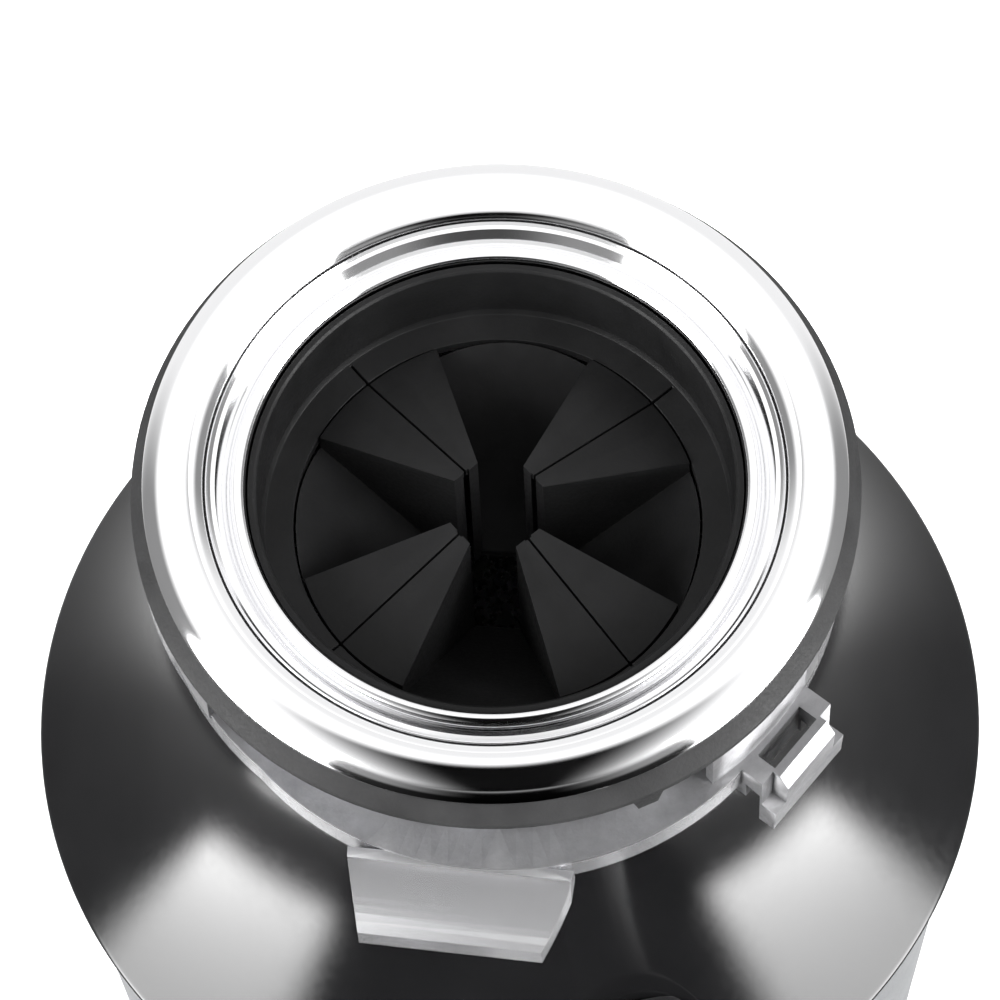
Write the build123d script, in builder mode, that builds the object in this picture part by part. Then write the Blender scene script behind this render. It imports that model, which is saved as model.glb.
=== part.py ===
"""Kitchen garbage disposal, built as it comes apart on a bench.

Frame: millimetres, +Z up. The origin is the centre of the sink flange's seating plane, the
underside of its lip, and the body hangs below it. Azimuth 0 is +X and the front is -Y.
"""
import os
from math import cos, radians, sin

from build123d import *

# ---- driving dimensions -------------------------------------------------------------------
FLANGE_R = 57.15          # 4-1/2 in sink flange
THROAT_R = 40.6           # inside of the flange's throat
SLEEVE_BORE = 41.0        # inside of the sleeve below the throat's lip
LIP_END = -4.8           # underside of the throat's lip
SLEEVE_R = 42.2           # outside of the flange's sleeve
SLEEVE_END = -24.0
GASKET_R = 59.3
PLATE_TOP = -19.5         # top of the swivel ring's plate
BAND_END = -25.0
NECK_R = 45.2             # outside of the grind chamber's neck
RIM_R = 82.5              # widest point of the body, the bell's rim
RIM_Z = -96.5
CHAMBER_R = 67.6          # outside of the grind chamber
CHAMBER_END = -124.0
TABLE_TOP = -121.5        # upper face of the turntable
SHREDDER_R = 62.4
OUTLET_Z = -146.0
BELL_END = -166.0         # underside of the upper end bell
CAN_R = 67.6
CAN_END = -257.0
SHELL_END = -262.0
SHELL_END_R = 70.4
BASE_Z = -288.0           # underside of the base cover
SHAFT_R = 7.0
LUG_ORBIT = 45.5          # radius of the grinding lugs' pivots
TAILPIPE_R = 19.05        # 1-1/2 in tailpipe
NIPPLE_R = 11.1           # 7/8 in dishwasher inlet
NIPPLE_AZ = -75.0
NIPPLE_Z = -84.0
TAB_AZ = -100.4           # middle of the front hand tab
HOOK_AZ = (-42.0, 78.0, -162.0)   # middles of the three bayonet hooks
SCREW_AZ = (22.0, 142.0, 262.0)   # mounting screws, between the hooks
GUARD_TURN = -8.0         # how far the splash guard's pattern is turned
BOLT_AZ = (45.0, 135.0, 225.0, 315.0)

os.makedirs("parts", exist_ok=True)


def polar(radius, azimuth, height=0.0):
    """A point given by its radius and azimuth about Z."""
    return (radius * cos(radians(azimuth)), radius * sin(radians(azimuth)), height)


def radial_plane(azimuth):
    """The half plane at an azimuth: local x runs outward and local y runs up."""
    return Plane(origin=(0, 0, 0), x_dir=polar(1, azimuth), z_dir=polar(1, azimuth - 90))


def spin(outline, mode=Mode.ADD, arc=360.0, start=0.0):
    """Turns a closed outline of (radius, height) points about Z in the current piece."""
    with BuildSketch(radial_plane(start)) as section:
        with BuildLine():
            Polyline(*outline, close=True)
        make_face()
    revolve(section.sketch, axis=Axis.Z, revolution_arc=arc, mode=mode)


def tube(outer, inner, top, bottom, mode=Mode.ADD):
    """A plain ring about Z in the current piece."""
    spin([(inner, bottom), (outer, bottom), (outer, top), (inner, top)], mode)


# ---- sink flange: spun and polished stainless ring with its sleeve -------------------------
with BuildPart() as sink_flange:
    with BuildSketch(Plane.XZ):
        with BuildLine():
            Polyline((SLEEVE_BORE, SLEEVE_END), (SLEEVE_BORE, LIP_END - 0.5), (THROAT_R, LIP_END),
                     (THROAT_R, -2.5))
            ThreePointArc((THROAT_R, -2.5), (41.9, -0.9), (43.1, -2.4))
            ThreePointArc((43.1, -2.4), (43.35, -2.65), (43.6, -2.4))
            ThreePointArc((43.6, -2.4), (45.97, 2.71), (51.2, 4.8))
            ThreePointArc((51.2, 4.8), (54.63, 3.89), (FLANGE_R, 1.4))
            Polyline((FLANGE_R, 1.4), (FLANGE_R, 0), (45.4, 0), (44.3, -1.4), (44.3, -3.3))
            Polyline((44.3, -3.3), (SLEEVE_R, -3.3), (SLEEVE_R, SLEEVE_END))
            Line((SLEEVE_R, SLEEVE_END), (SLEEVE_BORE, SLEEVE_END))
        make_face()
        with BuildLine():
            ThreePointArc((55.0, 0), (51.0, 3.1), (46.4, 0))
            Line((46.4, 0), (55.0, 0))
        make_face(mode=Mode.SUBTRACT)
    revolve(axis=Axis.Z)
    tube(SLEEVE_R + 1, 41.6, -16.4, -18.1, Mode.SUBTRACT)
sink_flange.part.label = "sink_flange"
export_step(sink_flange.part, "parts/sink_flange.step")

# ---- rim gasket: black rubber under the flange, with one locating tooth --------------------
with BuildPart() as rim_gasket:
    with BuildSketch(Plane.XZ):
        with BuildLine():
            Polyline((45.6, -0.05), (56.4, -0.05), (GASKET_R, -3.6), (GASKET_R, -4.8), (56.3, -4.8),
                     (56.3, -4.0), (45.6, -4.0), close=True)
        make_face()
    revolve(axis=Axis.Z)
    with BuildSketch(Plane(origin=polar(58.0, -69), x_dir=polar(1, 21), z_dir=polar(1, -69))):
        with BuildLine():
            Polyline((-2.6, -4.6), (-1.7, -7.8), (1.7, -7.8), (2.6, -4.6), close=True)
        make_face()
    extrude(amount=1.3)
rim_gasket.part.label = "rim_gasket"
export_step(rim_gasket.part, "parts/rim_gasket.step")

# ---- backup flange: steel washer that the mounting screws press on -------------------------
with BuildPart() as backup_flange:
    spin([(SLEEVE_R + 0.3, -4.05), (55.5, -4.05), (56, -4.4), (56, -5.0), (51.2, -5.0), (50.6, -7),
          (SLEEVE_R + 0.3, -7)])
backup_flange.part.label = "backup_flange"
export_step(backup_flange.part, "parts/backup_flange.step")

# ---- mounting ring: cast ring held on the sleeve, with three bayonet lugs ------------------
SCREW_ORBIT = 48.4
with BuildPart() as mounting_ring:
    tube(51.3, SLEEVE_R + 0.3, -8.0, -16.4)
    for azimuth in HOOK_AZ:
        spin([(50.0, -9.6), (55.0, -9.6), (55.0, -12.0), (50.0, -13.5)], arc=28, start=azimuth - 14)
    with Locations(*[polar(SCREW_ORBIT, azimuth) for azimuth in SCREW_AZ]):
        Cylinder(2.5, 60, mode=Mode.SUBTRACT)
mounting_ring.part.label = "mounting_ring"
export_step(mounting_ring.part, "parts/mounting_ring.step")

# ---- mounting screws: three slotted screws that jack the backup flange up ------------------
with BuildPart() as mounting_screws:
    with BuildSketch(Plane.XY.offset(-7.05)):
        with Locations(*[polar(SCREW_ORBIT, azimuth) for azimuth in SCREW_AZ]):
            Circle(2.42)
    extrude(amount=-9.6)
    with BuildSketch(Plane.XY.offset(-16.45)):
        with Locations(*[polar(SCREW_ORBIT, azimuth) for azimuth in SCREW_AZ]):
            Circle(3.6)
    extrude(amount=-2.6)
    with BuildSketch(Plane.XY.offset(-17.8)):
        with Locations(*[polar(SCREW_ORBIT, azimuth) for azimuth in SCREW_AZ]):
            Rectangle(9, 1.1)
    extrude(amount=-2, mode=Mode.SUBTRACT)
mounting_screws.part.label = "mounting_screws"
export_step(mounting_screws.part, "parts/mounting_screws.step")

# ---- snap ring: split spring wire in the sleeve's groove -----------------------------------
with BuildPart() as snap_ring:
    spin([(41.7, -16.5), (44.4, -16.5), (44.4, -18.0), (41.7, -18.0)], arc=338, start=100)
snap_ring.part.label = "snap_ring"
export_step(snap_ring.part, "parts/snap_ring.step")

# ---- hand tab: a tongue of the swivel ring that flares out and down ------------------------
with BuildPart() as hand_tab:
    with BuildSketch(radial_plane(TAB_AZ)):
        with BuildLine():
            Line((58.4, -20.0), (60.2, -20.0))
            ThreePointArc((60.2, -20.0), (62.5, -27.6), (68.3, -32.4))
            Line((68.3, -32.4), (68.1, -37.3))
            ThreePointArc((68.1, -37.3), (61.0, -31.5), (57.6, -24.8))
            Line((57.6, -24.8), (58.4, -20.0))
        make_face()
    extrude(amount=20, both=True)
    with BuildSketch(Plane.XY.rotated((0, 0, TAB_AZ))):
        with BuildLine():
            Polyline((50, -17.6), (60, -16.8), (75, -12.6), (75, 12.2), (60, 19.4), (50, 21.0), close=True)
        make_face()
    extrude(amount=-60, mode=Mode.INTERSECT)

# ---- wrench ear: a cast loop with a window, outside the first two hooks --------------------
with BuildPart() as wrench_ear:
    with BuildSketch(Plane.XZ):
        with BuildLine():
            Polyline((55.6, -19.5), (63.4, -19.5), (65.2, -22.0), (64.6, -34.5), (61.6, -34.5),
                     (61.6, -25.0), (58.8, -24.4), (58.8, -29.0), (56.4, -29.0), (55.6, -24.4), close=True)
        make_face()
    extrude(amount=9.0, both=True)
    with BuildSketch(Plane.XY):
        with Locations((60.1, 0)):
            Rectangle(3.6, 11)
    extrude(amount=-40, mode=Mode.SUBTRACT)
    with BuildSketch(Plane.XY):
        with Locations((65, 11.2), (65, -11.2)):
            Rectangle(6, 10)
    extrude(amount=-28, mode=Mode.SUBTRACT)

# ---- swivel ring: cam-shaped plate and rim, dished ledge, hooks, ears and tabs -------------
with BuildPart() as lock_ring:
    with BuildSketch(Plane.XY.offset(PLATE_TOP)) as cam_outline:
        Circle(57.0)
        with PolarLocations(8.3, 3, start_angle=-86):
            Circle(52.0)
    extrude(amount=-2)
    with BuildSketch(Plane.XY.offset(PLATE_TOP)):
        add(cam_outline.face())
        offset(cam_outline.face(), amount=-1.8, mode=Mode.SUBTRACT)
    extrude(amount=BAND_END - PLATE_TOP)
    tube(54.6, 52.6, PLATE_TOP, -26)
    tube(54.6, 45.8, -24, -26)
    spin([(0, -24), (52.6, -24), (52.6, 0), (0, 0)], Mode.SUBTRACT)
    for azimuth in HOOK_AZ:
        spin([(51.6, -5.4), (57.4, -5.4), (57.4, -21), (55.6, -21), (55.6, -8.8), (51.6, -8.8)],
             arc=28, start=azimuth - 14)
    add(hand_tab.part)
    for azimuth in HOOK_AZ[:2]:
        add(wrench_ear.part, rotation=(0, 0, azimuth))
lock_ring.part.label = "lock_ring"
export_step(lock_ring.part, "parts/lock_ring.step")

# ---- cushion mount: rubber ring between the sleeve's end and the grind chamber's neck ------
with BuildPart() as cushion_mount:
    spin([(42.5, -19.6), (52.0, -19.6), (52.0, -21.4), (43.5, -21.4), (43.5, -27.0), (37.7, -27.0),
          (37.7, -24.2), (42.5, -24.2)])
cushion_mount.part.label = "cushion_mount"
export_step(cushion_mount.part, "parts/cushion_mount.step")

# ---- splash guard: the lift-out rubber collar and its inner shelf --------------------------
SHELF_Z = -17.0
SHELF_R = 33.6            # inner edge of the shelf that carries the petals
with BuildPart() as splash_guard:
    spin([(38.9, -3.0), (39.4, -2.6), (40.3, -2.6), (40.3, -24.0), (38.6, -24.0), (38.6, -19.2),
          (SHELF_R, -19.2), (SHELF_R, SHELF_Z), (38.3, SHELF_Z), (38.9, -16.0)])
    with BuildSketch(Plane.XY.offset(SHELF_Z + 1)):
        with PolarLocations(35.6, 4, start_angle=GUARD_TURN + 45):
            Rectangle(4.6, 0.4)
    extrude(amount=-4, mode=Mode.SUBTRACT)
splash_guard.part.label = "splash_guard"
export_step(splash_guard.part, "parts/splash_guard.step")

# ---- guard leaf: one moulded petal, a sunk gusset between two raised half flaps ------------
LEAF_R = 33.2             # outer edge of a petal
TIP_R, TIP_Z = 7.8, -10.2         # inner end of the raised flaps
TIP_HALF, ROOT_HALF = 2.5, 12.6   # half widths of a flap at its tip and at the rim
WELL_R, WELL_Z = 6.5, -44.0       # inner end of the sunk gusset
SKIN, SLIT = 1.9, 0.2
FLAP_END, SHEET_END = 30.8, 36.0  # where the flaps stop widening, and past the rim


def slope(start, end, depth, direction):
    """A slab under the line from start to end, both (distance, height), across a direction."""
    (near, low), (far, high) = start, end
    with BuildPart() as slab:
        with BuildSketch(radial_plane(direction)):
            with BuildLine():
                Polyline((near, low), (far, high), (far, high - depth), (near, low - depth), close=True)
            make_face()
        extrude(amount=40, both=True)
    return slab.part


def flap_point(along, across, side):
    """A plan point given along and across a flap's centre line, which lies 45 degrees off."""
    turn = radians(45.0 * side)
    return (along * cos(turn) + side * across * sin(turn), along * sin(turn) - side * across * cos(turn))


def flap_height(distance):
    """Top of the raised flaps, which rise a little towards the middle."""
    return TIP_Z + (distance - TIP_R) * (SHELF_Z - TIP_Z) / (LEAF_R - TIP_R)


def gusset_height(distance):
    """Top of the sunk gusset, which falls steeply towards the middle."""
    return WELL_Z + (distance - WELL_R) * (SHELF_Z - 0.3 - WELL_Z) / (LEAF_R - WELL_R)


def half_flap(side):
    """One raised half flap of a petal, to one side of its gusset."""
    top = slope((0, flap_height(0)), (40, flap_height(40)), SKIN, 45.0 * side)
    with BuildPart() as flap:
        with BuildSketch(Plane.XY):
            with BuildLine():
                Polyline(*[flap_point(along, across, side) for along, across in (
                    (TIP_R + 0.3, SLIT), (TIP_R, TIP_HALF), (FLAP_END, ROOT_HALF), (SHEET_END, ROOT_HALF),
                    (SHEET_END, SLIT))], close=True)
            make_face()
        extrude(amount=-60)
        add(top, mode=Mode.INTERSECT)
    return flap.part


def side_wall(side):
    """The upright web between a raised half flap and the sunk gusset."""
    under_flap = slope((0, flap_height(0)), (40, flap_height(40)), 40, 45.0 * side)
    over_gusset = slope((0, gusset_height(0) + 38), (40, gusset_height(40) + 38), 38 + SKIN, 0)
    with BuildPart() as web:
        with BuildSketch(Plane.XY):
            with BuildLine():
                Polyline(*[flap_point(along, across, side) for along, across in (
                    (TIP_R, TIP_HALF - SKIN), (TIP_R, TIP_HALF), (FLAP_END, ROOT_HALF),
                    (FLAP_END, ROOT_HALF - SKIN))], close=True)
            make_face()
        extrude(amount=-60)
        add(under_flap, mode=Mode.INTERSECT)
        add(over_gusset, mode=Mode.INTERSECT)
    return web.part


half_flaps = [half_flap(side) for side in (1, -1)]
side_walls = [side_wall(side) for side in (1, -1)]
gusset_sheet = slope((WELL_R, WELL_Z), (40, gusset_height(40)), SKIN, 0)
with BuildPart() as gusset:
    with BuildSketch(Plane.XY):
        with BuildLine():
            Polyline(flap_point(TIP_R, TIP_HALF - 0.5, 1), flap_point(FLAP_END, ROOT_HALF - 0.5, 1),
                     (SHEET_END, 13.6), (SHEET_END, -13.6), flap_point(FLAP_END, ROOT_HALF - 0.5, -1),
                     flap_point(TIP_R, TIP_HALF - 0.5, -1), close=True)
        make_face()
    extrude(amount=-60)
    add(gusset_sheet, mode=Mode.INTERSECT)
with BuildPart() as leaf_blank:
    for half in half_flaps + side_walls:
        add(half)
    add(gusset.part)
    Cylinder(LEAF_R, 200, mode=Mode.INTERSECT)
for index in range(4):
    with BuildPart() as guard_leaf:
        add(leaf_blank.part, rotation=(0, 0, GUARD_TURN + 90 * index))
    guard_leaf.part.label = f"guard_leaf_{index + 1}"
    export_step(guard_leaf.part, f"parts/guard_leaf_{index + 1}.step")

# ---- grind chamber: deep-drawn stainless hopper under the guard ----------------------------
WALL = 1.5
nipple_plane = Plane(origin=(0, 0, NIPPLE_Z), x_dir=polar(1, NIPPLE_AZ + 90), z_dir=polar(1, NIPPLE_AZ))
with BuildPart() as grind_chamber:
    spin([(43.7, -21.5), (52.2, -21.5), (52.2, -23.9), (NECK_R, -23.9), (NECK_R, -38.0), (57.0, -62.0),
          (CHAMBER_R, -80.0), (CHAMBER_R, -122.0), (74.0, -122.0), (74.0, CHAMBER_END),
          (CHAMBER_R - WALL, CHAMBER_END), (CHAMBER_R - WALL, -80.6), (55.6, -62.8), (43.7, -38.6)])
    with BuildSketch(nipple_plane):
        Circle(NIPPLE_R)
    extrude(amount=90, mode=Mode.SUBTRACT)
    with Locations(*[polar(71.2, azimuth, CHAMBER_END) for azimuth in range(30, 390, 60)]):
        Cylinder(2.3, 10, mode=Mode.SUBTRACT)
grind_chamber.part.label = "grind_chamber"
export_step(grind_chamber.part, "parts/grind_chamber.step")

# ---- bell cover: glossy black shell that flares from the neck to the rim -------------------
with BuildPart() as bell_cover:
    with BuildSketch(Plane.XZ):
        with BuildLine():
            Line((47.4, -28.4), (52.4, -28.4))
            ThreePointArc((52.4, -28.4), (54.4, -29.4), (55.0, -31.6))
            Spline((55.0, -31.6), (55.9, -46.0), (61.4, -64.0), (70.6, -81.0), (RIM_R - 0.7, RIM_Z + 0.6),
                   tangents=((0, -1), (0.72, -0.69)))
            ThreePointArc((RIM_R - 0.7, RIM_Z + 0.6), (RIM_R, RIM_Z - 0.6), (RIM_R - 0.3, RIM_Z - 2.0))
            Line((RIM_R - 0.3, RIM_Z - 2.0), (RIM_R - 2.1, RIM_Z - 2.0))
            Spline((RIM_R - 2.1, RIM_Z - 2.0), (68.8, -81.6), (59.5, -64.4), (54.1, -46.4), (53.2, -31.6),
                   tangents=((-0.72, 0.69), (0, 1)))
            Line((53.2, -31.6), (52.4, -30.2))
            Line((52.4, -30.2), (47.4, -30.2))
            Line((47.4, -30.2), (47.4, -28.4))
        make_face()
    revolve(axis=Axis.Z)
    with BuildSketch(nipple_plane):
        Circle(NIPPLE_R + 2.6)
    extrude(amount=90, mode=Mode.SUBTRACT)
bell_cover.part.label = "bell_cover"
export_step(bell_cover.part, "parts/bell_cover.step")

# ---- neck liner: sound-deadening foam between the chamber's neck and the bell --------------
with BuildPart() as neck_liner:
    spin([(45.8, -31.2), (51.6, -31.2), (52.6, -38), (53.4, -47.6), (50.8, -47.6), (46.2, -38.4)])
neck_liner.part.label = "neck_liner"
export_step(neck_liner.part, "parts/neck_liner.step")

# ---- dishwasher inlet: plastic nipple through the bell, closed by a knock-out plug ---------
with BuildPart() as dishwasher_inlet:
    with BuildSketch(nipple_plane.offset(66.4)):
        Circle(NIPPLE_R)
    extrude(amount=38.6)
    with BuildSketch(nipple_plane.offset(68.6)):
        Circle(NIPPLE_R + 2.2)
    extrude(amount=2)
    with BuildSketch(nipple_plane.offset(60)):
        Circle(9.1)
    extrude(amount=50, mode=Mode.SUBTRACT)
    chamfer(dishwasher_inlet.edges().filter_by(GeomType.CIRCLE).sort_by(Axis.Y)[:2], 0.5)
dishwasher_inlet.part.label = "dishwasher_inlet"
export_step(dishwasher_inlet.part, "parts/dishwasher_inlet.step")

with BuildPart() as knockout_plug:
    with BuildSketch(nipple_plane.offset(70)):
        Circle(9.08)
    extrude(amount=1.6)
knockout_plug.part.label = "knockout_plug"
export_step(knockout_plug.part, "parts/knockout_plug.step")

# ---- shell seal and lower shell: the satin metal side wall below the rim -------------------
SHELL_TOP = RIM_Z - 2.1
with BuildPart() as shell_seal:
    tube(80.0, 76.2, SHELL_TOP + 0.05, SHELL_TOP - 2.4)
shell_seal.part.label = "shell_seal"
export_step(shell_seal.part, "parts/shell_seal.step")

with BuildPart() as lower_shell:
    spin([(81.6, SHELL_TOP), (81.6, SHELL_TOP - 2.6), (80.4, SHELL_TOP - 4.0),
          (SHELL_END_R + 0.6, SHELL_END + 6), (SHELL_END_R, SHELL_END), (SHELL_END_R - 1.6, SHELL_END),
          (78.8, SHELL_TOP - 4.4), (78.8, SHELL_TOP - 2.4), (80.0, SHELL_TOP - 2.4), (80.0, SHELL_TOP)])
    with BuildSketch(Plane.XZ.offset(60)):
        with Locations((0, OUTLET_Z)):
            SlotOverall(76, 52)
    extrude(amount=30, mode=Mode.SUBTRACT)
lower_shell.part.label = "lower_shell"
export_step(lower_shell.part, "parts/lower_shell.step")

with BuildPart() as sound_jacket:
    tube(71.9, 68.2, -176, -208)
sound_jacket.part.label = "sound_jacket"
export_step(sound_jacket.part, "parts/sound_jacket.step")

# ---- shredder ring: hardened ring with teeth along its lower edge --------------------------
with BuildPart() as shredder_ring:
    tube(CHAMBER_R - WALL - 0.05, SHREDDER_R, -98.0, -121.0)
    with BuildSketch(Plane.XY.offset(-121.0)):
        with PolarLocations(SHREDDER_R, 28):
            Rectangle(4.4, 6.0)
    extrude(amount=12, mode=Mode.SUBTRACT)
shredder_ring.part.label = "shredder_ring"
export_step(shredder_ring.part, "parts/shredder_ring.step")

# ---- chamber seal and bolts ----------------------------------------------------------------
BELL_TOP = CHAMBER_END - 0.8
with BuildPart() as chamber_seal:
    tube(68.8, 66.4, CHAMBER_END, BELL_TOP)
chamber_seal.part.label = "chamber_seal"
export_step(chamber_seal.part, "parts/chamber_seal.step")

with BuildPart() as chamber_bolts:
    for azimuth in range(30, 390, 60):
        with BuildSketch(Plane.XY.offset(-122.0)):
            with Locations(polar(71.2, azimuth)):
                RegularPolygon(3.6, 6, major_radius=True)
        extrude(amount=2.6)
        with BuildSketch(Plane.XY.offset(-122.0)):
            with Locations(polar(71.2, azimuth)):
                Circle(2.1)
        extrude(amount=-8)
chamber_bolts.part.label = "chamber_bolts"
export_step(chamber_bolts.part, "parts/chamber_bolts.step")

FACE = 79.0               # how far the outlet's face stands out

# ---- upper end bell: cast aluminium discharge chamber that carries the motor ---------------
with BuildPart() as upper_end_bell:
    spin([(63.0, BELL_TOP), (74.4, BELL_TOP), (74.4, -129.0), (68.0, -131.0), (68.0, BELL_END),
          (17.0, BELL_END), (15.0, -174.0), (9.5, -174.0), (9.5, -154.0), (11.0, -154.0), (11.0, -136.0),
          (15.0, -136.0), (17.0, -156.0), (58.0, -162.0), (63.0, -158.0)])
    with BuildSketch(Plane.XZ.offset(60)):
        with Locations((0, OUTLET_Z)):
            SlotOverall(68, 17)
            Circle(19.5)
    extrude(amount=FACE - 60)
    with BuildSketch(Plane.XZ.offset(75.3)):
        with Locations((0, OUTLET_Z)):
            Circle(23.4)
    extrude(amount=FACE - 75.3)
    with BuildSketch(Plane.XZ.offset(40)):
        with Locations((0, OUTLET_Z)):
            Circle(15.5)
    extrude(amount=50, mode=Mode.SUBTRACT)
    with BuildSketch(Plane.XZ.offset(68)):
        with Locations((27.5, OUTLET_Z), (-27.5, OUTLET_Z)):
            Circle(2.6)
    extrude(amount=20, mode=Mode.SUBTRACT)
    with Locations(*[polar(71.2, azimuth, BELL_TOP) for azimuth in range(30, 390, 60)]):
        Cylinder(2.15, 30, mode=Mode.SUBTRACT)
    with Locations(*[polar(61.5, azimuth, BELL_END) for azimuth in BOLT_AZ]):
        Cylinder(2.25, 7, mode=Mode.SUBTRACT)
upper_end_bell.part.label = "upper_end_bell"
export_step(upper_end_bell.part, "parts/upper_end_bell.step")

# ---- discharge: gasket, elbow, clamp plate and bolts ---------------------------------------
BEND = 28.0
with BuildPart() as tailpipe_gasket:
    with BuildSketch(Plane.XZ.offset(FACE)):
        with Locations((0, OUTLET_Z)):
            Circle(23)
            Circle(16, mode=Mode.SUBTRACT)
    extrude(amount=2.5)
tailpipe_gasket.part.label = "tailpipe_gasket"
export_step(tailpipe_gasket.part, "parts/tailpipe_gasket.step")

ELBOW_START = FACE + 2.5
BEND_START = ELBOW_START + 13.0
TAILPIPE_Y = BEND_START + BEND
TAILPIPE_END = OUTLET_Z - BEND - 42.0
with BuildPart() as discharge_elbow:
    with BuildLine(Plane.YZ) as elbow_path:
        run = Line((-ELBOW_START, OUTLET_Z), (-BEND_START, OUTLET_Z))
        bend = JernArc(run @ 1, run % 1, BEND, 90)
        Line(bend @ 1, (-TAILPIPE_Y, TAILPIPE_END))
    with BuildSketch(Plane.XZ.offset(ELBOW_START)):
        with Locations((0, OUTLET_Z)):
            Circle(TAILPIPE_R)
            Circle(TAILPIPE_R - 1.8, mode=Mode.SUBTRACT)
    sweep()
    with BuildSketch(Plane.XZ.offset(ELBOW_START)):
        with Locations((0, OUTLET_Z)):
            Circle(23)
            Circle(TAILPIPE_R - 0.5, mode=Mode.SUBTRACT)
    extrude(amount=3)
discharge_elbow.part.label = "discharge_elbow"
export_step(discharge_elbow.part, "parts/discharge_elbow.step")

with BuildPart() as tailpipe_flange:
    with BuildSketch(Plane.XZ.offset(ELBOW_START + 3)):
        with Locations((0, OUTLET_Z)):
            SlotOverall(70, 17)
            Circle(24.5)
            Circle(TAILPIPE_R + 0.3, mode=Mode.SUBTRACT)
        with Locations((27.5, OUTLET_Z), (-27.5, OUTLET_Z)):
            Circle(2.8, mode=Mode.SUBTRACT)
    extrude(amount=2.6)
tailpipe_flange.part.label = "tailpipe_flange"
export_step(tailpipe_flange.part, "parts/tailpipe_flange.step")

with BuildPart() as flange_bolts:
    for side in (27.5, -27.5):
        with BuildSketch(Plane.XZ.offset(ELBOW_START + 5.6)):
            with Locations((side, OUTLET_Z)):
                RegularPolygon(4.6, 6, major_radius=True)
        extrude(amount=3.4)
        with BuildSketch(Plane.XZ.offset(ELBOW_START + 5.6)):
            with Locations((side, OUTLET_Z)):
                Circle(2.55)
        extrude(amount=-18)
flange_bolts.part.label = "flange_bolts"
export_step(flange_bolts.part, "parts/flange_bolts.step")

# ---- turntable: steel disc with its hub, drained by small holes ----------------------------
STUD_R = 4.8
with BuildPart() as turntable:
    spin([(STUD_R, TABLE_TOP + 3), (11, TABLE_TOP + 3), (14, TABLE_TOP), (SHREDDER_R - 0.5, TABLE_TOP),
          (SHREDDER_R - 0.5, TABLE_TOP - 2.5), (14, TABLE_TOP - 2.5), (13, TABLE_TOP - 6),
          (STUD_R, TABLE_TOP - 6)])
    with PolarLocations(LUG_ORBIT, 2):
        Cylinder(2.9, 300, mode=Mode.SUBTRACT)
    with PolarLocations(54.0, 12, start_angle=15):
        Cylinder(2.4, 300, mode=Mode.SUBTRACT)
turntable.part.label = "turntable"
export_step(turntable.part, "parts/turntable.step")

# ---- grinding lugs: two hammers that swing freely on shouldered pins -----------------------
LUG_BASE = TABLE_TOP + 0.25
for index, azimuth in enumerate((0, 180)):
    outward = polar(1, azimuth)
    with BuildPart() as lug:
        with BuildSketch(Plane(origin=polar(LUG_ORBIT, azimuth, LUG_BASE), x_dir=outward, z_dir=(0, 0, 1))):
            Circle(7.5)
            with Locations((3.5, 0)):
                Rectangle(19, 13)
            Circle(3.06, mode=Mode.SUBTRACT)
        extrude(amount=4.2)
        toe = polar(LUG_ORBIT + 10.4, azimuth, LUG_BASE)
        with BuildSketch(Plane(origin=toe, x_dir=outward, z_dir=(0, 0, 1))):
            Rectangle(5.2, 13)
        extrude(amount=10.5)
    lug.part.label = f"grinding_lug_{index + 1}"
    export_step(lug.part, f"parts/grinding_lug_{index + 1}.step")

with BuildPart() as lug_pins:
    for azimuth in (0, 180):
        with BuildSketch(Plane.XY.offset(LUG_BASE + 4.6)):
            with Locations(polar(LUG_ORBIT, azimuth)):
                Circle(4.6)
        extrude(amount=2.2)
        with BuildSketch(Plane.XY.offset(LUG_BASE + 4.6)):
            with Locations(polar(LUG_ORBIT, azimuth)):
                Circle(3.0)
        extrude(amount=TABLE_TOP - LUG_BASE - 4.6)
        with BuildSketch(Plane.XY.offset(TABLE_TOP)):
            with Locations(polar(LUG_ORBIT, azimuth)):
                Circle(2.85)
        extrude(amount=-4.0)
lug_pins.part.label = "lug_pins"
export_step(lug_pins.part, "parts/lug_pins.step")

# ---- shaft, its nut, slinger, seal and bearings --------------------------------------------
HUB_END = TABLE_TOP - 6
SHAFT_END = -271.0
with BuildPart() as motor_shaft:
    spin([(0, TABLE_TOP + 9.5), (STUD_R - 0.6, TABLE_TOP + 9.5), (STUD_R, TABLE_TOP + 8.9), (STUD_R, HUB_END),
          (SHAFT_R, HUB_END), (SHAFT_R, SHAFT_END), (0, SHAFT_END)])
motor_shaft.part.label = "motor_shaft"
export_step(motor_shaft.part, "parts/motor_shaft.step")

with BuildPart() as turntable_nut:
    with BuildSketch(Plane.XY.offset(TABLE_TOP + 3)):
        RegularPolygon(8.6, 6, major_radius=True)
        Circle(STUD_R, mode=Mode.SUBTRACT)
    extrude(amount=5.2)
turntable_nut.part.label = "turntable_nut"
export_step(turntable_nut.part, "parts/turntable_nut.step")

with BuildPart() as water_slinger:
    spin([(SHAFT_R, HUB_END), (12.5, HUB_END), (19.0, HUB_END - 4.5), (17.8, HUB_END - 5.4),
          (11.5, HUB_END - 2.4), (SHAFT_R, HUB_END - 2.4)])
water_slinger.part.label = "water_slinger"
export_step(water_slinger.part, "parts/water_slinger.step")

with BuildPart() as shaft_seal:
    tube(11.0, SHAFT_R + 0.06, -136.2, -142.0)
shaft_seal.part.label = "shaft_seal"
export_step(shaft_seal.part, "parts/shaft_seal.step")

with BuildPart() as upper_bearing:
    tube(9.5, SHAFT_R + 0.04, -154.2, -173.8)
upper_bearing.part.label = "upper_bearing"
export_step(upper_bearing.part, "parts/upper_bearing.step")

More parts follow.
